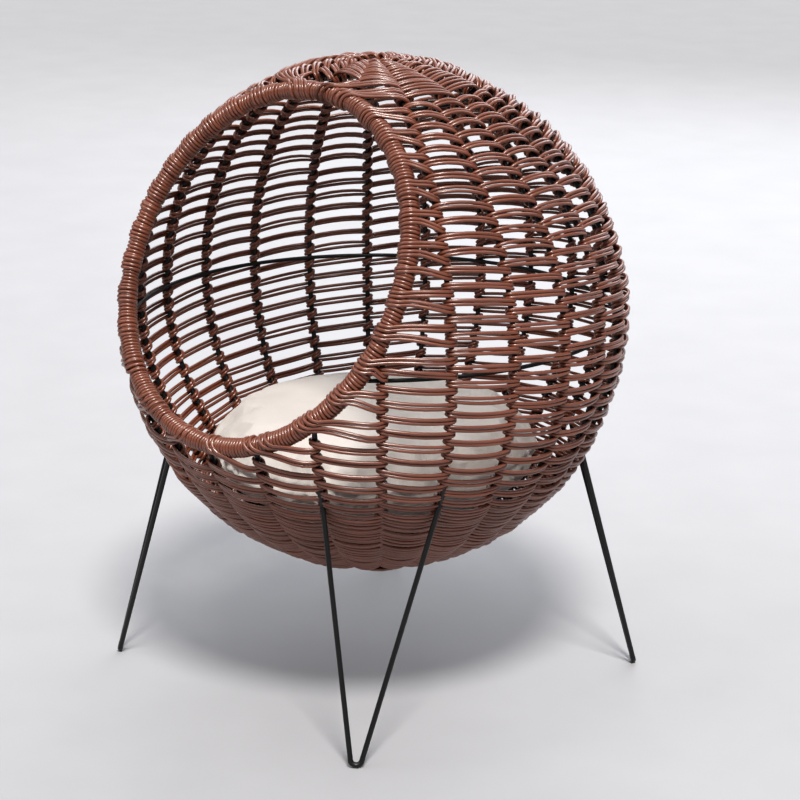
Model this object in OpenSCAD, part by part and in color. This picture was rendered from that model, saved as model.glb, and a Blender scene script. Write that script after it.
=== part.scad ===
// Round woven pet basket on four hairpin legs.
// A steel rod cage is woven with round strands and holds a loose cushion.
// Millimetres, +Z up, origin on the floor under the middle of the ball.
// The mouth faces -Y, so "left" is -X for someone looking into it.

/* [Ball] */
// Outside diameter of the woven ball
ball_d = 500; // [480:5:520]
// Height of the middle of the ball above the floor
ball_height = 370; // [345:1:385]
// Diameter of the round strand that the wall is woven from
strand_d = 3.5; // [3.2:0.1:4]

/* [Mouth] */
// Diameter of the rim along its centre line
mouth_d = 350; // [330:2:360]
// Angle of the mouth's axis above the horizontal
mouth_rise = 26; // [20:1:30]
// Outside diameter of the steel rim tube
rim_d = 11; // [10:0.5:12]
// Wall thickness of the steel rim tube
rim_wall = 1.5; // [1.2:0.1:2]

/* [Cage] */
// Diameter of each upright rib rod
rib_d = 5; // [4.5:0.1:5.5]
// Diameter of each horizontal ring rod
ring_d = 4; // [3.5:0.1:4.5]
// Latitude of the crown ring and the base ring, where every second rib ends
end_ring_lat = 66.5; // [65:0.5:67]
// Centre-line diameter of the small hub ring at the crown and the base
hub_d = 36; // [32:1:40]

/* [Legs] */
// Diameter of the rod that each leg is bent from
leg_d = 5; // [4.5:0.1:5.5]
// Distance from the basket's axis to each foot
foot_reach = 266; // [250:1:280]
// Distance that each foot stands to one side of its leg's middle
foot_shift = 26; // [0:1:30]
// Depth of the leg's upper bends below the middle of the ball
leg_drop = 131; // [126:1:140]
// Length of rod that lies along the rib above each bend
leg_hug = 22; // [15:1:24]
// Centre-line radius of the bend that stands on the floor
foot_bend_r = 5.5; // [5:0.1:8]

/* [Cushion] */
// Diameter of the loose cushion
cushion_d = 350; // [330:1:352]
// Thickness of the cushion
cushion_t = 94; // [84:1:94]
// Depth of the cushion's top below the middle of the ball
cushion_drop = 90; // [80:1:91]
// Thickness of the cushion's cover
cover_t = 2; // [1.5:0.1:3]

/* [Hidden] */
$fn = 64;
steel = "#17171a";
strand_brown = "#6a4438";
cushion_grey = "#d9d3ca";
filling_white = "#f2efe9";

rib_count = 24;
rib_step = 360 / rib_count;
leg_spread = 15; // each leg rod meets the rib this far round from the leg's middle
free = 0.25; // clearance between the weave and the rods that it wraps
weld_bite = 0.2; // depth that crossing rods are pressed into each other when welded
slit = 0.5; // gap between neighbouring zones of the weave
leg_slot = 3; // extra width of the slot in the weave that a leg's rod lies in
bend_lap = 1.2; // how far a straight rod runs into the bend at each end
bend_bulge = 0.4; // how much thicker the rod is round the tight bend on the floor

ball_r = ball_d / 2;
rib_r = ball_r - strand_d - rib_d / 2;
wall_in_r = rib_r - rib_d / 2 - strand_d - 0.7;
ring_r = rib_r - (rib_d + ring_d) / 2 + weld_bite;
leg_r = rib_r + (rib_d + leg_d) / 2 - weld_bite;
wrap_d = rim_d + 2 * strand_d;

// The mouth is a circle on the rib sphere, seen from the middle under mouth_half.
mouth_r = mouth_d / 2;
mouth_half = asin(mouth_r / rib_r);
mouth_depth = rib_r * cos(mouth_half);

hub_z = sqrt(rib_r * rib_r - hub_d * hub_d / 4);
long_rib_lat = acos((hub_d / 2 + rib_d / 2 - weld_bite) / rib_r);
short_rib_lat = end_ring_lat + 1;
end_ring_z = ring_r * sin(end_ring_lat);

// Heights of the weave zones' edges, above and below the middle of the ball
ring_gap = ring_d / 2 + 2;
zone_1 = 0.4 * ball_r;
zone_2 = end_ring_z + ring_d / 2 + 1;
end_ring_gap = ring_d + 2;

// Ribs are numbered counter-clockwise from above, and rib 1 is over the mouth.
// Odd ribs run from hub to hub, and even ones only between the two end rings.
full_ribs = [for (i = [5:21]) i];
lower_ribs = [1, 2, 3, 4, 22, 23, 24];
upper_ribs = [1, 3, 4, 22, 23];

function is_long(i) = i % 2 == 1;
function rib_end_lat(i) = is_long(i) ? long_rib_lat : short_rib_lat;

function two_digits(i) = str(i < 10 ? "0" : "", i);
function rib_name(i) = str("rib_", two_digits(i));
function rib_turn(i) = (i - 1) * rib_step - 90;

// Latitudes at which rib i meets the mouth circle: [lower, upper]
function mouth_swing(i) = sqrt(pow(cos(mouth_rise) * cos((i - 1) * rib_step), 2) + pow(sin(mouth_rise), 2));
function mouth_middle(i) = atan2(sin(mouth_rise), cos(mouth_rise) * cos((i - 1) * rib_step));
function mouth_reach(i) = acos(cos(mouth_half) / mouth_swing(i));
function rib_end_low(i) = mouth_middle(i) - mouth_reach(i);
function rib_end_high(i) = mouth_middle(i) + mouth_reach(i);

LEG_NAMES = ["front_right_leg", "back_right_leg", "back_left_leg", "front_left_leg"];
WEAVE_NAMES = ["crown_weave", "shoulder_weave", "upper_wall_weave", "lower_wall_weave", "bowl_weave", "base_weave"];

// Moves to the middle of the ball
module at_ball() {
    translate([0, 0, ball_height]) children();
}

// Turns so that local +Z runs out along the mouth's axis
module along_mouth() {
    rotate([90 - mouth_rise, 0, 0]) children();
}

// Part of an upright circle: from one latitude to another at a turn round +Z
module meridian_rod(turn, low, high, r, d) {
    rotate([0, 0, turn])
        rotate([90, 0, 0])
            rotate([0, 0, low])
                rotate_extrude(angle = high - low, $fn = 128)
                    translate([r, 0]) circle(d = d);
}

// Closed round ring lying flat
module flat_ring(r, d) {
    rotate_extrude($fn = 128)
        translate([r, 0]) circle(d = d);
}

// Ring on the mouth's edge
module mouth_ring(d) {
    at_ball() along_mouth() translate([0, 0, mouth_depth]) flat_ring(mouth_r, d);
}

// ---- Steel cage ----

module rim_tube() {
    color(steel)
        difference() {
            mouth_ring(rim_d);
            mouth_ring(rim_d - 2 * rim_wall);
        }
}

// A ring at a latitude that the mouth reaches runs round the back, from one side of the mouth to the other.
function ring_end(lat) = acos((cos(mouth_half) - sin(lat) * sin(mouth_rise)) / cos(lat) / cos(mouth_rise));

module ring_rod(lat, d) {
    at_ball()
        translate([0, 0, ring_r * sin(lat)])
            rotate([0, 0, ring_end(lat) - 90])
                rotate_extrude(angle = 360 - 2 * ring_end(lat), $fn = 128)
                    translate([ring_r * cos(lat), 0]) circle(d = d);
}

module middle_ring() {
    color(steel)
        difference() {
            ring_rod(0, ring_d);
            mouth_ring(rim_d);
        }
}

module crown_ring() {
    color(steel)
        difference() {
            ring_rod(end_ring_lat, ring_d);
            mouth_ring(rim_d);
        }
}

module base_ring() {
    color(steel) at_ball() translate([0, 0, -end_ring_z]) flat_ring(ring_r * cos(end_ring_lat), ring_d);
}

module crown_hub_ring() {
    color(steel) at_ball() translate([0, 0, hub_z]) flat_ring(hub_d / 2, rib_d);
}

module base_hub_ring() {
    color(steel) at_ball() translate([0, 0, -hub_z]) flat_ring(hub_d / 2, rib_d);
}

module full_rib_rod(i, d) {
    at_ball() meridian_rod(rib_turn(i), -rib_end_lat(i), rib_end_lat(i), rib_r, d);
}

module upper_rib_rod(i, d) {
    at_ball() meridian_rod(rib_turn(i), rib_end_high(i), rib_end_lat(i), rib_r, d);
}

module lower_rib_rod(i, d) {
    at_ball() meridian_rod(rib_turn(i), -rib_end_lat(i), rib_end_low(i), rib_r, d);
}

module full_rib(i) {
    color(steel) full_rib_rod(i, rib_d);
}

module upper_rib(i) {
    color(steel)
        difference() {
            upper_rib_rod(i, rib_d);
            mouth_ring(rim_d);
        }
}

module lower_rib(i) {
    color(steel)
        difference() {
            lower_rib_rod(i, rib_d);
            mouth_ring(rim_d);
        }
}

// ---- Hairpin legs ----

bend_lat = -asin(leg_drop / leg_r);
bend_out = leg_r * cos(bend_lat) * cos(leg_spread);
bend_side = leg_r * cos(bend_lat) * sin(leg_spread);
bend_z = ball_height - leg_drop;
foot_z = (leg_d + bend_bulge) / 2;
leg_lean = atan2(foot_reach - bend_out, bend_z - foot_z);
leg_length = norm([foot_reach - bend_out, bend_z - foot_z]);
function rod_side(side) = bend_side + side * foot_shift;
function rod_far(side) = norm([rod_side(side), leg_length - foot_bend_r]);
function rod_splay(side) = atan2(rod_side(side), leg_length - foot_bend_r) - asin(foot_bend_r / rod_far(side));
function rod_length(side) = sqrt(pow(rod_far(side), 2) - foot_bend_r * foot_bend_r);
hug_angle = leg_hug / leg_r * 180 / PI;
bend_lap_angle = bend_lap / leg_r * 180 / PI;

// The foot bend and its two straight rods, in the leg's own leaning plane
module hairpin(d) {
    translate([0, 0, foot_bend_r]) {
        rotate([90, 0, 0])
            rotate([0, 0, 180 + rod_splay(-1)])
                rotate_extrude(angle = 180 - rod_splay(-1) - rod_splay(1))
                    translate([foot_bend_r, 0]) circle(d = d + bend_bulge);
        for (side = [-1, 1])
            rotate([0, side * rod_splay(side), 0])
                translate([side * foot_bend_r, 0, -bend_lap])
                    cylinder(h = rod_length(side) + 2 * bend_lap, d = d);
    }
}

module leg_rod(turn, d) {
    rotate([0, 0, turn]) {
        translate([foot_reach, -foot_shift, foot_z])
            rotate([0, -leg_lean, 0])
                rotate([0, 0, 90])
                    hairpin(d);
        for (side = [-1, 1]) {
            at_ball() meridian_rod(side * leg_spread, bend_lat - bend_lap_angle, bend_lat + hug_angle, leg_r, d);
        }
    }
}

module leg(i) {
    color(steel) leg_rod(90 * i - 45, leg_d);
}

// ---- Weave ----

// Part of the ball's wall between two heights, measured from the ball's middle
module wall_zone(low, high) {
    intersection() {
        difference() {
            sphere(r = ball_r, $fn = 128);
            sphere(r = wall_in_r, $fn = 128);
        }
        translate([0, 0, low]) cylinder(h = high - low, r = ball_r + 10, $fn = 128);
    }
}

// Cone that would meet in the middle of the ball and clears the wound rim
cut_half = mouth_half + asin((wrap_d / 2 + free) / rib_r);
cut_near = mouth_depth / 2;
cut_far = 1.2 * ball_r;
cut_turn = 37; // turns the cone's own seam away from every rib

module mouth_cut() {
    at_ball() along_mouth()
        rotate([0, 0, cut_turn])
            translate([0, 0, cut_near])
                cylinder(h = cut_far - cut_near, r1 = cut_near * tan(cut_half), r2 = cut_far * tan(cut_half), $fn = 128);
}

// Room for the rods that pass through the weave
module ribs_room() {
    for (i = [1:rib_count]) full_rib_rod(i, rib_d + 2 * free);
}

module legs_room() {
    for (i = [0:3]) leg_rod(90 * i - 45, leg_d + leg_slot);
}

// Room round a hub ring, where the ribs' ends lie side by side
module hub_room(side) {
    at_ball()
        translate([0, 0, side * (hub_z - 0.5)])
            difference() {
                cylinder(h = rib_d + 3, r = hub_d / 2 + 8, center = true);
                cylinder(h = rib_d + 4, r = hub_d / 2 - rib_d / 2 - 2, center = true);
            }
}

module crown_weave() {
    color(strand_brown)
        difference() {
            at_ball() wall_zone(zone_2, ball_r + 1);
            mouth_cut();
            ribs_room();
            hub_room(1);
        }
}

module shoulder_weave() {
    color(strand_brown)
        difference() {
            at_ball() wall_zone(zone_1 + slit / 2, zone_2 - end_ring_gap);
            mouth_cut();
            ribs_room();
        }
}

module upper_wall_weave() {
    color(strand_brown)
        difference() {
            at_ball() wall_zone(ring_gap, zone_1 - slit / 2);
            mouth_cut();
            ribs_room();
        }
}

module lower_wall_weave() {
    color(strand_brown)
        difference() {
            at_ball() wall_zone(-zone_1 + slit / 2, -ring_gap);
            mouth_cut();
            ribs_room();
        }
}

module bowl_weave() {
    color(strand_brown)
        difference() {
            at_ball() wall_zone(-zone_2 + end_ring_gap, -zone_1 - slit / 2);
            mouth_cut();
            ribs_room();
            legs_room();
        }
}

module base_weave() {
    color(strand_brown)
        difference() {
            at_ball() wall_zone(-ball_r - 1, -zone_2);
            ribs_room();
            hub_room(-1);
        }
}

// Strand wound round the rim tube, over the ends of the ribs and the middle ring
module rim_wrap() {
    color(strand_brown)
        difference() {
            mouth_ring(wrap_d);
            mouth_ring(rim_d + 2 * free);
            for (i = upper_ribs) upper_rib_rod(i, rib_d + 2 * free);
            for (i = lower_ribs) lower_rib_rod(i, rib_d + 2 * free);
            ring_rod(0, ring_d + 2 * free);
            ring_rod(end_ring_lat, ring_d + 2 * free);
        }
}

// ---- Cushion ----

cushion_mid = ball_height - cushion_drop - cushion_t / 2;

// Half outline of a round cushion with fully rounded sides
module cushion_outline(d, t) {
    translate([d / 2 - t / 2, 0]) circle(d = t);
    translate([0, -t / 2]) square([d / 2 - t / 2, t]);
}

module cushion_body(inset) {
    rotate_extrude($fn = 128)
        intersection() {
            cushion_outline(cushion_d - 2 * inset, cushion_t - 2 * inset);
            translate([0, -cushion_t]) square([cushion_d, 2 * cushion_t]);
        }
}

module cover_half(side) {
    translate([0, 0, cushion_mid])
        intersection() {
            difference() {
                cushion_body(0);
                cushion_body(cover_t);
            }
            translate([0, 0, side * cushion_t / 2])
                cylinder(h = cushion_t, r = cushion_d, center = true);
        }
}

module cushion_top_cover() {
    color(cushion_grey) cover_half(1);
}

module cushion_bottom_cover() {
    color(cushion_grey) cover_half(-1);
}

module cushion_filling() {
    color(filling_white) translate([0, 0, cushion_mid]) cushion_body(cover_t + 0.1);
}

rim_tube();
rim_wrap();
middle_ring();
crown_ring();
base_ring();
crown_hub_ring();
base_hub_ring();
for (i = full_ribs) full_rib(i);
for (i = upper_ribs) upper_rib(i);
for (i = lower_ribs) lower_rib(i);
for (i = [0:3]) leg(i);
crown_weave();
shoulder_weave();
upper_wall_weave();
lower_wall_weave();
bowl_weave();
base_weave();
cushion_top_cover();
cushion_bottom_cover();
cushion_filling();
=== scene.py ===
import math

import bpy
import numpy as np
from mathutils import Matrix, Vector


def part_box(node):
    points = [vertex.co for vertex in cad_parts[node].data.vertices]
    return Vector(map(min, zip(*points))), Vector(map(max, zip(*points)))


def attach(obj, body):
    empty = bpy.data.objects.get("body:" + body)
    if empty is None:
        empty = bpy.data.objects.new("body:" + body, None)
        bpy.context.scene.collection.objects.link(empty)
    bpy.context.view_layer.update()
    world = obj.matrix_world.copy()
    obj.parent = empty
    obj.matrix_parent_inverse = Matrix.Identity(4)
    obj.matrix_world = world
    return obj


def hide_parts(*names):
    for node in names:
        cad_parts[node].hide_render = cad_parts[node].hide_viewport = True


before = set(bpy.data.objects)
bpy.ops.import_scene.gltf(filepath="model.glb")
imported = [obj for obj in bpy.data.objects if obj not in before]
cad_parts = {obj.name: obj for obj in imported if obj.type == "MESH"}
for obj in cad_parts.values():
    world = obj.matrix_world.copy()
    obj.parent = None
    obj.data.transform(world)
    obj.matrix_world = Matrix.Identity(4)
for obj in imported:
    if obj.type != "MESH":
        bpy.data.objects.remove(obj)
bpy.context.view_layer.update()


# --- Camera -----------------------------------------------------------------
# A long lens, a little above the bed and turned to its right-hand side, so
# that the mouth faces left and the whole bed stands clear of the frame.
ring_low, ring_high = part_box("middle_ring")
BALL_CENTRE = Vector((0.0, 0.0, (ring_low[2] + ring_high[2]) / 2.0))
CAMERA_TURN = math.radians(43.3)
CAMERA_RISE = math.radians(15.0)
CAMERA_DISTANCE = 2.45
LENS = 110.6
SENSOR = 36.0
AIM_RIGHT = 0.0255
AIM_DOWN = 0.0877

camera_back = Vector((
    math.sin(CAMERA_TURN) * math.cos(CAMERA_RISE),
    -math.cos(CAMERA_TURN) * math.cos(CAMERA_RISE),
    math.sin(CAMERA_RISE)))
camera_right = Vector((math.cos(CAMERA_TURN), math.sin(CAMERA_TURN), 0.0))
camera_up = camera_back.cross(camera_right)
camera_place = BALL_CENTRE + CAMERA_DISTANCE * camera_back
aim = BALL_CENTRE + AIM_RIGHT * camera_right - AIM_DOWN * camera_up

camera_data = bpy.data.cameras.new("camera")
camera_data.lens = LENS
camera_data.sensor_width = SENSOR
camera_data.clip_end = 40.0
camera = bpy.data.objects.new("camera", camera_data)
camera.location = camera_place
camera.rotation_euler = (aim - camera_place).to_track_quat("-Z", "Y").to_euler()
bpy.context.scene.collection.objects.link(camera)
bpy.context.scene.camera = camera


# --- Floor, backdrop and light ------------------------------------------------
# A pale matt studio floor under a pale far wall. A soft key stands high on the
# right, a bright ceiling and two soft boxes, left and behind, fill the rest.
def linear(hex_colour):
    """An sRGB hex colour as the linear values that Blender's sockets take."""
    parts = [int(hex_colour[i:i + 2], 16) / 255.0 for i in (1, 3, 5)]
    return [c / 12.92 if c <= 0.04045 else ((c + 0.055) / 1.055) ** 2.4
            for c in parts] + [1.0]


def add_node(material, kind, inputs=None, **settings):
    """Adds one node: settings are its properties, inputs are socket values or links."""
    node = material.node_tree.nodes.new(kind)
    for key, value in settings.items():
        setattr(node, key, value)
    for key, value in (inputs or {}).items():
        if isinstance(value, bpy.types.NodeSocket):
            material.node_tree.links.new(value, node.inputs[key])
        else:
            node.inputs[key].default_value = value
    return node


def new_material(name):
    """An empty node material with only its output."""
    material = bpy.data.materials.new(name)
    material.use_nodes = True
    material.node_tree.nodes.clear()
    material.node_tree.nodes.new("ShaderNodeOutputMaterial")
    return material


def finish_material(material, shader):
    """Sends the shader to the material's surface."""
    output = material.node_tree.nodes["Material Output"]
    material.node_tree.links.new(shader.outputs[0], output.inputs["Surface"])
    return material


# Trowelled plaster floor, painted and matt: almost flat, with faint clouds a
# few centimetres across.
painted_plaster = new_material("painted_plaster")
floor_place = add_node(painted_plaster, "ShaderNodeTexCoord")
floor_cloud = add_node(painted_plaster, "ShaderNodeTexNoise",
                       {"Vector": floor_place.outputs["Object"], "Scale": 9.0, "Detail": 5.0})
floor_tint = add_node(painted_plaster, "ShaderNodeMix",
                      {"Factor": floor_cloud.outputs["Fac"], "A": linear("#9b9c9f"), "B": linear("#a3a4a7")},
                      data_type="RGBA")
floor_shader = add_node(painted_plaster, "ShaderNodeBsdfPrincipled",
                        {"Base Color": floor_tint.outputs["Result"], "Roughness": 0.7})
finish_material(painted_plaster, floor_shader)

FLOOR_HALF = 9.0
floor_mesh = bpy.data.meshes.new("floor")
floor_mesh.from_pydata(
    [(-FLOOR_HALF, -FLOOR_HALF, 0.0), (FLOOR_HALF, -FLOOR_HALF, 0.0),
     (FLOOR_HALF, FLOOR_HALF, 0.0), (-FLOOR_HALF, FLOOR_HALF, 0.0)], [], [(0, 1, 2, 3)])
floor_mesh.materials.append(painted_plaster)
floor = bpy.data.objects.new("floor", floor_mesh)
bpy.context.scene.collection.objects.link(floor)

bpy.context.scene.view_settings.view_transform = "Standard"
bpy.context.scene.view_settings.look = "Medium High Contrast"
world = bpy.data.worlds.new("studio")
world.use_nodes = True
sky_place = add_node(world, "ShaderNodeTexCoord")
sky_parts = add_node(world, "ShaderNodeSeparateXYZ", {"Vector": sky_place.outputs["Generated"]})
ceiling = add_node(world, "ShaderNodeMapRange",
                   {"Value": sky_parts.outputs["Z"], "From Min": 0.15, "From Max": 0.75,
                    "To Min": 0.12, "To Max": 0.95})
room_glow = world.node_tree.nodes["Background"]
room_glow.inputs["Color"].default_value = linear("#f6f6f8")
world.node_tree.links.new(ceiling.outputs["Result"], room_glow.inputs["Strength"])
far_wall = add_node(world, "ShaderNodeBackground", {"Color": linear("#dededf"), "Strength": 0.95})
ray_kind = add_node(world, "ShaderNodeLightPath")
room = add_node(world, "ShaderNodeMixShader", {0: ray_kind.outputs["Is Camera Ray"],
                                               1: room_glow.outputs[0], 2: far_wall.outputs[0]})
world.node_tree.links.new(room.outputs[0], world.node_tree.nodes["World Output"].inputs["Surface"])
bpy.context.scene.world = world


def soft_box(name, turn, rise, distance, size, power, colour):
    """A square area light that looks at the ball from the given turn and rise."""
    light = bpy.data.lights.new(name, "AREA")
    light.shape = "SQUARE"
    light.size = size
    light.energy = power
    light.color = linear(colour)[:3]
    lamp = bpy.data.objects.new(name, light)
    turn, rise = math.radians(turn), math.radians(rise)
    back = Vector((math.sin(turn) * math.cos(rise), -math.cos(turn) * math.cos(rise), math.sin(rise)))
    lamp.location = BALL_CENTRE + distance * back
    lamp.rotation_euler = (-back).to_track_quat("-Z", "Y").to_euler()
    bpy.context.scene.collection.objects.link(lamp)


KEY_TURN = math.radians(52.0)
KEY_RISE = math.radians(60.0)
key = bpy.data.lights.new("key_light", "SUN")
key.angle = math.radians(13.0)
key.energy = 3.3
key.color = linear("#fffaf5")[:3]
key_lamp = bpy.data.objects.new("key_light", key)
key_lamp.rotation_euler = (math.pi / 2.0 - KEY_RISE, 0.0, KEY_TURN)
bpy.context.scene.collection.objects.link(key_lamp)

soft_box("side_light", -40.0, 30.0, 3.0, 1.2, 11.0, "#ffffff")
soft_box("window_light", 205.0, 30.0, 3.2, 2.4, 46.0, "#f6f9ff")


# --- Steel cage ---------------------------------------------------------------
# Rod hoops and ribs of mild steel, bent and resistance welded, then powder
# coated black: satin, with the faint orange peel that the baked powder leaves.
powder_coated_steel = new_material("powder_coated_steel")
PEEL_SIZE = 0.0011
coat_place = add_node(powder_coated_steel, "ShaderNodeTexCoord")
coat_peel = add_node(powder_coated_steel, "ShaderNodeTexNoise",
                     {"Vector": coat_place.outputs["Object"], "Scale": 1.0 / PEEL_SIZE, "Detail": 2.0})
coat_dust = add_node(powder_coated_steel, "ShaderNodeTexNoise",
                     {"Vector": coat_place.outputs["Object"], "Scale": 40.0, "Detail": 4.0})
coat_tint = add_node(powder_coated_steel, "ShaderNodeMix",
                     {"Factor": coat_dust.outputs["Fac"], "A": linear("#050506"), "B": linear("#0e0e10")},
                     data_type="RGBA")
coat_gloss = add_node(powder_coated_steel, "ShaderNodeMapRange",
                      {"Value": coat_dust.outputs["Fac"], "To Min": 0.34, "To Max": 0.48})
coat_bump = add_node(powder_coated_steel, "ShaderNodeBump",
                     {"Height": coat_peel.outputs["Fac"], "Strength": 0.25, "Distance": 0.0001})
coat_shader = add_node(powder_coated_steel, "ShaderNodeBsdfPrincipled",
                       {"Base Color": coat_tint.outputs["Result"],
                        "Roughness": coat_gloss.outputs["Result"],
                        "Normal": coat_bump.outputs["Normal"], "IOR": 1.5})
finish_material(powder_coated_steel, coat_shader)

WOVEN_NODES = ("rim_wrap", "crown_weave", "shoulder_weave", "upper_wall_weave",
               "lower_wall_weave", "bowl_weave", "base_weave")
CUSHION_NODES = ("cushion_top_cover", "cushion_bottom_cover", "cushion_filling")
for name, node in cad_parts.items():
    if name not in WOVEN_NODES + CUSHION_NODES:
        node.data.materials.clear()
        node.data.materials.append(powder_coated_steel)


# --- Resin strand ---------------------------------------------------------------
# The strand is an extruded polyethylene round cord, 3.5 mm thick, coloured in
# the mass: a soft shine along its back, faint draw lines, slightly uneven brown.
RIB_R = 0.244
RIB_ROD = 0.0025
STRAND = 0.00175
TUBE_SIDES = 8

extruded_polyethylene = new_material("extruded_polyethylene")
strand_uv = add_node(extruded_polyethylene, "ShaderNodeUVMap", uv_map="strand")
strand_long = add_node(extruded_polyethylene, "ShaderNodeMapping",
                       {"Vector": strand_uv.outputs["UV"], "Scale": (26.0, 9.0, 1.0)})
draw_lines = add_node(extruded_polyethylene, "ShaderNodeTexNoise",
                      {"Vector": strand_long.outputs["Vector"], "Scale": 1.0, "Detail": 3.0, "Roughness": 0.6})
strand_place = add_node(extruded_polyethylene, "ShaderNodeTexCoord")
strand_patch = add_node(extruded_polyethylene, "ShaderNodeTexNoise",
                        {"Vector": strand_place.outputs["Object"], "Scale": 22.0, "Detail": 3.0})
brown_tint = add_node(extruded_polyethylene, "ShaderNodeMix",
                      {"Factor": draw_lines.outputs["Fac"],
                       "A": linear("#582a1b"), "B": linear("#86503a")},
                      data_type="RGBA")
brown_shade = add_node(extruded_polyethylene, "ShaderNodeMapRange",
                       {"Value": strand_patch.outputs["Fac"], "From Min": 0.3, "From Max": 0.7,
                        "To Min": 0.86, "To Max": 1.08})
brown_mixed = add_node(extruded_polyethylene, "ShaderNodeVectorMath",
                       {0: brown_tint.outputs["Result"]}, operation="SCALE")
extruded_polyethylene.node_tree.links.new(brown_shade.outputs["Result"], brown_mixed.inputs["Scale"])
strand_gloss = add_node(extruded_polyethylene, "ShaderNodeMapRange",
                        {"Value": draw_lines.outputs["Fac"], "To Min": 0.24, "To Max": 0.36})
strand_bump = add_node(extruded_polyethylene, "ShaderNodeBump",
                       {"Height": draw_lines.outputs["Fac"], "Strength": 0.35, "Distance": 0.0002})
strand_shader = add_node(extruded_polyethylene, "ShaderNodeBsdfPrincipled",
                         {"Base Color": brown_mixed.outputs["Vector"],
                          "Roughness": strand_gloss.outputs["Result"],
                          "Normal": strand_bump.outputs["Normal"], "IOR": 1.51,
                          "Specular IOR Level": 0.85})
finish_material(extruded_polyethylene, strand_shader)


def strand_mesh(name, paths, radius=STRAND, sides=TUBE_SIDES):
    """One object of round strands swept along lists of points."""
    corners, faces, uvs = [], [], []
    ring_angles = np.arange(sides) * 2.0 * math.pi / sides
    ring_cos, ring_sin = np.cos(ring_angles), np.sin(ring_angles)
    first = 0
    for number, path in enumerate(paths):
        path = np.asarray(path)
        steps = np.diff(path, axis=0)
        lengths = np.linalg.norm(steps, axis=1)
        along = np.concatenate([[0.0], np.cumsum(lengths)]) + 0.37 * number
        units = steps / lengths[:, None]
        tangents = np.vstack([units[:1], units[:-1] + units[1:], units[-1:]])
        tangents /= np.linalg.norm(tangents, axis=1)[:, None]
        side = np.cross(tangents[0], [0.31, 0.17, 0.94])
        side /= np.linalg.norm(side)
        sides_out = np.empty_like(path)
        for i, tangent in enumerate(tangents):
            side = side - tangent * side.dot(tangent)
            side /= math.sqrt(side.dot(side))
            sides_out[i] = side
        others = np.cross(tangents, sides_out)
        rings = (path[:, None, :] + radius * (ring_cos[None, :, None] * sides_out[:, None, :]
                                              + ring_sin[None, :, None] * others[:, None, :]))
        count = len(path)
        corners.append(rings.reshape(-1, 3))
        base = first + np.arange(count - 1)[:, None] * sides + np.arange(sides)[None, :]
        turn = first + np.arange(count - 1)[:, None] * sides + (np.arange(sides)[None, :] + 1) % sides
        quads = np.stack([base, turn, turn + sides, base + sides], axis=-1).reshape(-1, 4)
        faces.append(quads)
        u0 = np.repeat(along[:-1], sides)
        u1 = np.repeat(along[1:], sides)
        v0 = np.tile(np.arange(sides) / sides, count - 1)
        v1 = v0 + 1.0 / sides
        uvs.append(np.stack([u0, v0, u0, v1, u1, v1, u1, v0], axis=-1).reshape(-1, 2))
        first += count * sides
    corners = np.concatenate(corners)
    faces = np.concatenate(faces)
    uvs = np.concatenate(uvs)
    mesh = bpy.data.meshes.new(name)
    mesh.vertices.add(len(corners))
    mesh.vertices.foreach_set("co", corners.ravel())
    mesh.loops.add(faces.size)
    mesh.loops.foreach_set("vertex_index", faces.ravel())
    mesh.polygons.add(len(faces))
    mesh.polygons.foreach_set("loop_start", np.arange(len(faces)) * 4)
    mesh.update(calc_edges=True)
    mesh.uv_layers.new(name="strand").data.foreach_set("uv", uvs.ravel())
    mesh.shade_smooth()
    mesh.validate()
    mesh.materials.append(extruded_polyethylene)
    piece = bpy.data.objects.new(name, mesh)
    bpy.context.scene.collection.objects.link(piece)
    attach(piece, "basket")
    return piece


# --- Woven wall -----------------------------------------------------------------
# Strands laid in pairs go once round every rib and on to the next, climbing as
# they turn; the spans between ribs spring outwards. Courses that meet the
# mouth turn over its rim tube, two pairs together.
MOUTH_RISE = math.radians(26.0)
MOUTH_DEPTH = 0.170
RIM_RADIUS = 0.175
RIM_TUBE = 0.0055
MOUTH_AXIS = np.array([0.0, -math.cos(MOUTH_RISE), math.sin(MOUTH_RISE)])
MOUTH_UP = np.array([0.0, math.sin(MOUTH_RISE), math.cos(MOUTH_RISE)])
MOUTH_HALF = math.atan2(RIM_RADIUS, MOUTH_DEPTH)
RIM_CLEAR = 0.015 / RIB_R
LOOP_R = RIB_ROD + STRAND
RIB_TURN = 15.0
UPPER_PULL = 0.0085
LOWER_PULL = 0.0015
UNEVEN_PAIR = 0.0007
UNEVEN_STRAND = 0.0002
weave_random = np.random.default_rng(7)


def on_ball(turn, height, radius):
    """A point from its turn about Z, its height along the ball's skin and its radius."""
    rise = np.asarray(height) / RIB_R
    flat = radius * np.cos(rise)
    return np.stack([flat * np.cos(turn), flat * np.sin(turn),
                     BALL_CENTRE.z + radius * np.sin(rise)], axis=-1)


def from_mouth(turn, height):
    """The angle at the ball's centre between a point of its skin and the mouth's axis."""
    rise = height / RIB_R
    point = np.array([math.cos(rise) * math.cos(turn), math.cos(rise) * math.sin(turn), math.sin(rise)])
    return math.acos(max(-1.0, min(1.0, float(point.dot(MOUTH_AXIS)))))


def smooth(x):
    x = np.clip(x, 0.0, 1.0)
    return x * x * (3.0 - 2.0 * x)


def rim_place(angle):
    """A point of the rim tube's centre line, with its outward, away and along directions."""
    spoke = math.cos(angle) * np.array([1.0, 0.0, 0.0]) + math.sin(angle) * MOUTH_UP
    centre = MOUTH_DEPTH * MOUTH_AXIS + RIM_RADIUS * spoke
    outward = centre / np.linalg.norm(centre)
    along = -math.sin(angle) * np.array([1.0, 0.0, 0.0]) + math.cos(angle) * MOUTH_UP
    away = np.cross(outward, along)
    if away.dot(MOUTH_AXIS) > 0:
        away = -away
    return centre + np.array(BALL_CENTRE), outward, away, along


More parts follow.
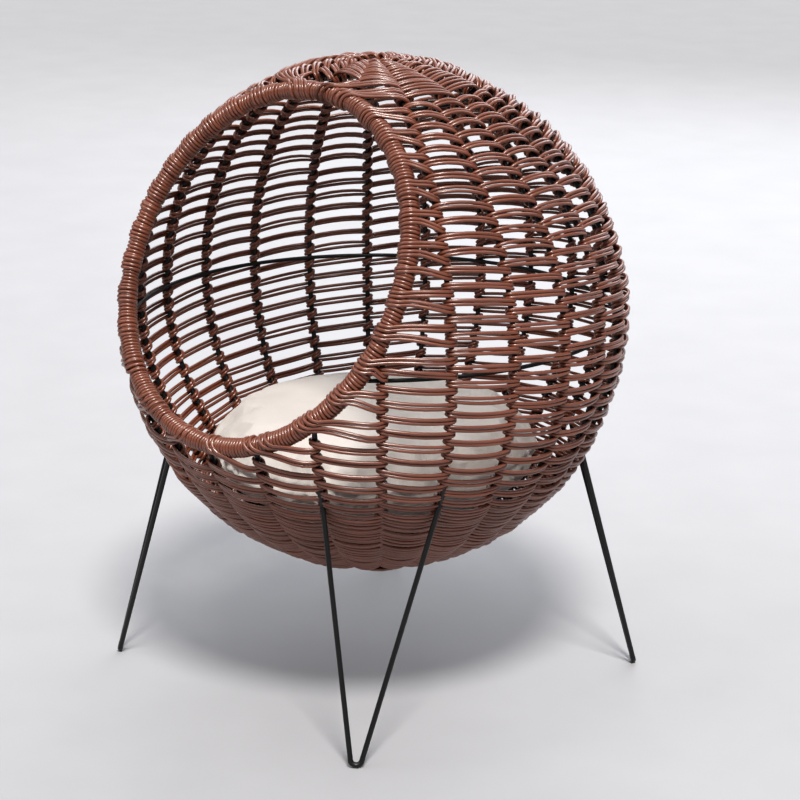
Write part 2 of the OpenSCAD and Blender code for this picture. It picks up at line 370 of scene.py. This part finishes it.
def rim_angle_at(height, side):
    """Where on the rim a course of this height meets it, on the +X or the -X side."""
    level = (RIB_R * math.sin(height / RIB_R) - MOUTH_DEPTH * math.sin(MOUTH_RISE)) \
        / (RIM_RADIUS * math.cos(MOUTH_RISE))
    angle = math.asin(max(-0.995, min(0.995, level)))
    return angle if side > 0 else math.pi - angle


def rim_turn(angle, offset, side):
    """The end of a strand: off the rim tube level with its course, and round under the tube."""
    centre, outward, away, along = rim_place(angle)
    level_way = np.cross([0.0, 0.0, 1.0], outward)
    slope = max(-1.7, min(1.7, level_way.dot(along) / level_way.dot(away)))
    apart = side * offset * math.sqrt(1.0 + slope * slope)
    around = np.radians(np.linspace(-25.0, 225.0, 13))
    reach = (RIM_TUBE + 2.2 * STRAND) \
        - 1.3 * STRAND * smooth((around - math.radians(120)) / math.radians(80))
    drift = apart - slope * RIM_TUBE * 0.8 * (1.0 - np.exp(-around / 0.6))
    return [centre + r * (math.cos(a) * outward - math.sin(a) * away) + d * along
            for a, r, d in zip(around, reach, drift)]


def bridge(start, start_way, end, end_way, count):
    """A smooth arm from one point and direction to another, without its two ends."""
    start, end = np.asarray(start), np.asarray(end)
    span = np.linalg.norm(end - start)
    t = np.linspace(0.0, 1.0, count + 2)[1:-1, None]
    h00 = 2 * t ** 3 - 3 * t ** 2 + 1
    h10 = t ** 3 - 2 * t ** 2 + t
    h01 = -2 * t ** 3 + 3 * t ** 2
    h11 = t ** 3 - t ** 2
    return h00 * start + h10 * span * start_way + h01 * end + h11 * span * end_way


def course(height, climb, offset, turns, spring, bow, extra, number):
    """The paths of one strand of one course, cut where the mouth takes its ribs."""
    meet = math.radians(30.0)
    loop = np.linspace(meet, 2.0 * math.pi - meet, 11)
    t = (1.0 - np.cos(np.linspace(0.0, math.pi, 10)[1:-1])) / 2.0
    arch = np.sin(math.pi * t) ** 0.6
    kept = [from_mouth(a, height + 0.5 * climb) > MOUTH_HALF + RIM_CLEAR for a in turns]
    whole = all(kept)
    count = len(turns)
    start = 0
    if not whole:
        while kept[start] or not kept[(start + 1) % count]:
            start += 1
        start = (start + 1) % count
    step = 2.0 * math.pi / count
    order = [(start + i) % count for i in range(count)]
    path = []
    flat = math.cos(height / RIB_R)
    shake = weave_random.uniform(-1.0, 1.0, (count + 1, 4))
    begun = False
    last_turn = None
    for position, index in enumerate(order):
        turn = turns[start] + position * step
        if not kept[index]:
            break
        jitter = UNEVEN_STRAND * shake[position, 0] \
            + UNEVEN_PAIR * math.sin(12.9 * number + 78.2 * index)
        u = LOOP_R * np.sin(loop)
        n = LOOP_R * np.cos(loop)
        layer = extra * (1.0 - smooth((loop - 0.5) / 1.9))
        u = u + layer * np.sin(loop)
        n = n + layer * np.cos(loop)
        s = height + offset + jitter + climb * smooth((loop - math.radians(60)) / math.radians(240))
        loop_points = on_ball(turn + u / (RIB_R * flat), s, RIB_R + n)
        if begun:
            # the span from the last rib to this one
            swell = spring * (1.0 + 0.18 * shake[position, 1]) * arch
            part = offset * 0.09 * (1.0 + shake[position, 2]) * np.sin(math.pi * t)
            rise = (bow + 0.0008 * shake[position, 3]) * arch
            lean = UNEVEN_STRAND * shake[position, 2] * np.sign(offset) * np.sin(math.pi * t)
            between = last_turn + (turn - last_turn) * t \
                + (-LOOP_R * math.sin(meet) * (1 - t) + LOOP_R * math.sin(meet) * t) / (RIB_R * flat)
            level = (last_s + (s[0] - last_s) * t) + part + rise
            radius = (last_r + (RIB_R + n[0] - last_r) * t) + swell + lean
            path.extend(on_ball(between, level, radius))
        elif not whole:
            # the first arm, from the rim to the first rib
            pull = UPPER_PULL if number % 2 == 0 else LOWER_PULL
            angle = rim_angle_at(height + pull, 1.0)
            turn_points = rim_turn(angle, offset, 1.0)
            turn_points.reverse()
            path.extend(turn_points)
            leave = np.asarray(turn_points[-1]) - np.asarray(turn_points[-2])
            arrive = loop_points[1] - loop_points[0]
            path.extend(bridge(turn_points[-1], leave / np.linalg.norm(leave),
                               loop_points[0], arrive / np.linalg.norm(arrive), 6))
        path.extend(loop_points)
        last_turn, last_s, last_r = turn, s[-1], RIB_R + n[-1]
        begun = True
    if whole:
        # close the course: the last span runs on to the first rib, one climb lower
        turn = turns[start] + count * step
        t = np.append(t, 1.0)
        swell = spring * np.append(arch, 0.0)
        between = last_turn + (turn - last_turn) * t
        level = last_s + (height + offset - last_s) * t
        radius = (last_r + (RIB_R + LOOP_R - last_r) * t) + swell
        path.extend(on_ball(between, level, radius))
    elif begun:
        # the last arm, from the last rib to the rim
        pull = UPPER_PULL if number % 2 == 0 else LOWER_PULL
        angle = rim_angle_at(height + climb + pull, -1.0)
        turn_points = rim_turn(angle, offset, -1.0)
        land = np.asarray(turn_points[1]) - np.asarray(turn_points[0])
        leave = path[-1] - path[-2]
        path.extend(bridge(path[-1], leave / np.linalg.norm(leave),
                           turn_points[0], land / np.linalg.norm(land), 6))
        path.extend(turn_points)
    return path


def weave(name, node, courses):
    """One woven zone as one piece, standing for its CAD node."""
    paths = [path for path in courses if len(path) > 2]
    piece = strand_mesh(name, paths)
    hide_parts(node)
    return piece


ALL_RIBS = [math.radians(-90.0 + RIB_TURN * i) for i in range(24)]
LONG_RIBS = ALL_RIBS[::2]


CLIMB = 0.007


def pair_courses(bottom, top, pitch, spring, bow, extra=0.0, ribs=ALL_RIBS):
    """Courses of paired strands between two heights on the ball's skin."""
    count = max(1, round((top - bottom) / pitch))
    step = (top - bottom) / count
    paths = []
    for number in range(count):
        height = bottom + (number + 0.5) * step - 0.5 * CLIMB
        for offset in (-STRAND, STRAND):
            paths.append(course(height, CLIMB, offset, ribs, spring, bow, extra, number))
    return paths


def at(degrees):
    """The height along the ball's skin of a latitude in degrees."""
    return math.radians(degrees) * RIB_R


weave("shoulder_strands", "shoulder_weave",
      pair_courses(at(24.0), at(65.0), 0.014, 0.0058, 0.0025))
weave("upper_wall_strands", "upper_wall_weave",
      pair_courses(at(0.0), at(24.0), 0.014, 0.0045, 0.001))
weave("lower_wall_strands", "lower_wall_weave",
      pair_courses(at(-20.0), at(0.0), 0.014, 0.004, -0.0005)
      + pair_courses(at(-24.0), at(-20.0), 0.0125, 0.0045, -0.001))
weave("bowl_strands", "bowl_weave",
      pair_courses(at(-33.0), at(-24.0), 0.0115, 0.005, -0.001)
      + pair_courses(at(-47.0), at(-33.0), 0.0095, 0.0055, -0.002, 0.001))
weave("bowl_strands_below", "bowl_weave",
      pair_courses(at(-66.5), at(-47.0), 0.0078, 0.006, -0.002, 0.0025))


# --- Crown and base ---------------------------------------------------------------
# Above and below the end rings only every other rib runs on, so the strand is
# laid pair against pair, in wide springing arcs round the small hub,
# which a tight coil of the same strand fills.
HUB_RIM = 0.0185


def hub_coil(side):
    """A flat spiral of strand over a hub ring, on top (side 1) or underneath (side -1)."""
    turns = HUB_RIM / (2.0 * STRAND) - 0.5
    angles = np.arange(0.0, turns * 2.0 * math.pi, math.radians(24.0))
    reach = 0.0015 + angles / (2.0 * math.pi) * 2.0 * STRAND
    dome = RIB_R + LOOP_R + 0.002 - 0.0035 * (reach / HUB_RIM) ** 2
    return np.stack([reach * np.cos(angles), reach * np.sin(angles),
                     BALL_CENTRE.z + side * dome], axis=-1)


weave("crown_strands", "crown_weave",
      pair_courses(at(66.0), at(86.0), 0.0104, 0.0065, 0.002, 0.0022, LONG_RIBS) + [hub_coil(1)])
weave("base_strands", "base_weave",
      pair_courses(at(-86.0), at(-66.5), 0.0104, 0.0065, -0.002, 0.0022, LONG_RIBS) + [hub_coil(-1)])


# --- Rim wrap -----------------------------------------------------------------------
# The mouth's steel tube is wound turn against turn with the same strand, never
# quite even: it swells between the ribs and dips where a rib meets the tube.
WRAP_R = RIM_TUBE + STRAND
WRAP_PITCH = 0.00355
wrap_turns = round(2.0 * math.pi * RIM_RADIUS / WRAP_PITCH)
TURN_STEPS = 14
wrap_points = []
rim_spokes = np.linspace(0.0, 2.0 * math.pi, 1441)
spoke_turns = np.degrees([math.atan2(*rim_place(a)[0][1::-1]) for a in rim_spokes]) / RIB_TURN
rib_spokes = [a for a, b, c in zip(rim_spokes, spoke_turns, spoke_turns[1:])
              if math.floor(b) != math.floor(c)]
wrap_drift = weave_random.uniform(-1.0, 1.0, wrap_turns + 1)
for i in range(wrap_turns * TURN_STEPS + 1):
    turn = i / TURN_STEPS
    angle = 2.0 * math.pi * turn / wrap_turns
    centre, outward, away, along = rim_place(angle)
    around = 2.0 * math.pi * turn
    whole_turn = int(turn)
    part_turn = turn - whole_turn
    drift = wrap_drift[min(whole_turn, wrap_turns)] * (1 - part_turn) \
        + wrap_drift[min(whole_turn + 1, wrap_turns)] * part_turn
    to_rib = RIM_RADIUS * min(abs(angle - a) for a in rib_spokes)
    reach = WRAP_R + 0.0002 * drift + 0.0007 * (1.0 - math.exp(-(to_rib / 0.012) ** 2)) \
        - 0.0008 * math.exp(-(to_rib / 0.0028) ** 2)
    wrap_points.append(centre + reach * (math.cos(around) * outward - math.sin(around) * away)
                       + 0.0005 * drift * along)
wrap = strand_mesh("rim_strand", [wrap_points])
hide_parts("rim_wrap")


# --- Cushion ----------------------------------------------------------------------
# A loose round cushion in pale plush, two discs sewn together at the edge and
# stuffed with fibre; it lies in the bottom of the ball and lifts out.
CUSHION_R = 0.175
CUSHION_HALF = 0.047
cushion_low, cushion_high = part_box("cushion_top_cover")
cushion_mid = (Vector(cushion_low) + Vector(cushion_high)) / 2.0
cushion_mid.z = cushion_high[2] - CUSHION_HALF


def cushion_shell(name, radius, half, rings=40, sides=120):
    """The two discs before they are stuffed: a lens, dished a little where the pet lies."""
    corners, faces = [], []
    for i in range(1, rings):
        angle = math.pi * i / rings
        ring_r = radius * math.sin(angle) ** 0.7
        lift = half * math.copysign(abs(math.cos(angle)) ** 0.9, math.cos(angle))
        if lift > 0:
            lift *= 1.0 - 0.22 * math.exp(-(ring_r / 0.085) ** 2)
        for k in range(sides):
            turn = 2.0 * math.pi * k / sides
            corners.append((ring_r * math.cos(turn), ring_r * math.sin(turn), lift))
    top = len(corners)
    corners.append((0.0, 0.0, half * 0.78))
    corners.append((0.0, 0.0, -half))
    for i in range(rings - 2):
        for k in range(sides):
            a, b = i * sides + k, i * sides + (k + 1) % sides
            faces.append((a, a + sides, b + sides, b))
    for k in range(sides):
        faces.append((top, k, (k + 1) % sides))
        last = (rings - 2) * sides
        faces.append((top + 1, last + (k + 1) % sides, last + k))
    mesh = bpy.data.meshes.new(name)
    mesh.from_pydata([Vector(c) + cushion_mid for c in corners], [], faces)
    shell = bpy.data.objects.new(name, mesh)
    bpy.context.scene.collection.objects.link(shell)
    return shell


def apply_modifiers(piece):
    """Leaves the piece with the mesh its modifiers give, and no modifiers."""
    bpy.context.view_layer.update()
    evaluated = piece.evaluated_get(bpy.context.evaluated_depsgraph_get())
    mesh = bpy.data.meshes.new_from_object(evaluated)
    piece.modifiers.clear()
    piece.data = mesh


def stuff_with_fibre(piece, frames, most):
    """Swells the sewn cover by cloth simulation; no point moves further than most."""
    remesh = piece.modifiers.new("remesh", "REMESH")
    remesh.mode = "VOXEL"
    remesh.voxel_size = 0.0045
    apply_modifiers(piece)
    before = np.array([v.co for v in piece.data.vertices])
    cloth = piece.modifiers.new("cloth", "CLOTH")
    cloth.settings.quality = 6
    cloth.settings.mass = 0.25
    cloth.settings.use_pressure = True
    cloth.settings.uniform_pressure_force = 4.0
    cloth.settings.tension_stiffness = 12.0
    cloth.settings.compression_stiffness = 12.0
    cloth.settings.bending_stiffness = 0.4
    cloth.settings.shrink_min = -0.05
    cloth.settings.effector_weights.gravity = 0.0
    cloth.point_cache.frame_start = 1
    cloth.point_cache.frame_end = frames
    for frame_number in range(1, frames + 1):
        bpy.context.scene.frame_set(frame_number)
    apply_modifiers(piece)
    after = np.array([v.co for v in piece.data.vertices])
    moved = after - before
    far = np.linalg.norm(moved, axis=1)
    moved *= np.minimum(1.0, most / np.maximum(far, 1e-9))[:, None]
    piece.data.vertices.foreach_set("co", (before + moved).ravel())
    piece.data.update()
    bpy.context.scene.frame_set(1)


def sew_edge(piece):
    """Draws the cover in along its edge seam and gathers it in small puckers."""
    places = np.array([v.co for v in piece.data.vertices]) - np.array(cushion_mid)
    turn = np.arctan2(places[:, 1], places[:, 0])
    reach = np.hypot(places[:, 0], places[:, 1])
    edge = np.clip((reach - 0.120) / 0.050, 0.0, 1.0)
    near = np.exp(-(places[:, 2] / 0.0035) ** 2) * edge
    gather = np.exp(-np.abs(places[:, 2]) / 0.014) * edge
    waves = 0.6 * np.sin(41.0 * turn + 1.7 * np.sin(5.0 * turn)) \
        + 0.4 * np.sin(67.0 * turn + 2.0 * np.sin(3.0 * turn))
    draw = -0.0045 * near + 0.0016 * gather * waves
    places[:, 0] += draw * np.cos(turn)
    places[:, 1] += draw * np.sin(turn)
    places[:, 2] += 0.0006 * gather * waves * np.sign(places[:, 2])
    piece.data.vertices.foreach_set("co", (places + np.array(cushion_mid)).ravel())
    piece.data.update()


knitted_plush = new_material("knitted_plush")
plush_place = add_node(knitted_plush, "ShaderNodeTexCoord")
plush_nap = add_node(knitted_plush, "ShaderNodeTexNoise",
                     {"Vector": plush_place.outputs["Object"], "Scale": 900.0, "Detail": 3.0})
plush_cloud = add_node(knitted_plush, "ShaderNodeTexNoise",
                       {"Vector": plush_place.outputs["Object"], "Scale": 24.0, "Detail": 4.0})
plush_tint = add_node(knitted_plush, "ShaderNodeMix",
                      {"Factor": plush_cloud.outputs["Fac"], "A": linear("#b3ada7"), "B": linear("#cbc6c1")},
                      data_type="RGBA")
plush_bump = add_node(knitted_plush, "ShaderNodeBump",
                      {"Height": plush_nap.outputs["Fac"], "Strength": 0.5, "Distance": 0.0008})
plush_shader = add_node(knitted_plush, "ShaderNodeBsdfPrincipled",
                        {"Base Color": plush_tint.outputs["Result"], "Roughness": 0.92,
                         "Normal": plush_bump.outputs["Normal"], "Sheen Weight": 0.35})
finish_material(knitted_plush, plush_shader)

cushion = cushion_shell("cushion_cover", CUSHION_R - 0.007, CUSHION_HALF - 0.007)
stuff_with_fibre(cushion, 20, 0.008)
finer = cushion.modifiers.new("finer", "SUBSURF")
finer.levels = finer.render_levels = 1
apply_modifiers(cushion)
sew_edge(cushion)
cushion.data.shade_smooth()
cushion.data.materials.clear()
cushion.data.materials.append(knitted_plush)
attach(cushion, "cushion")
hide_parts(*CUSHION_NODES)
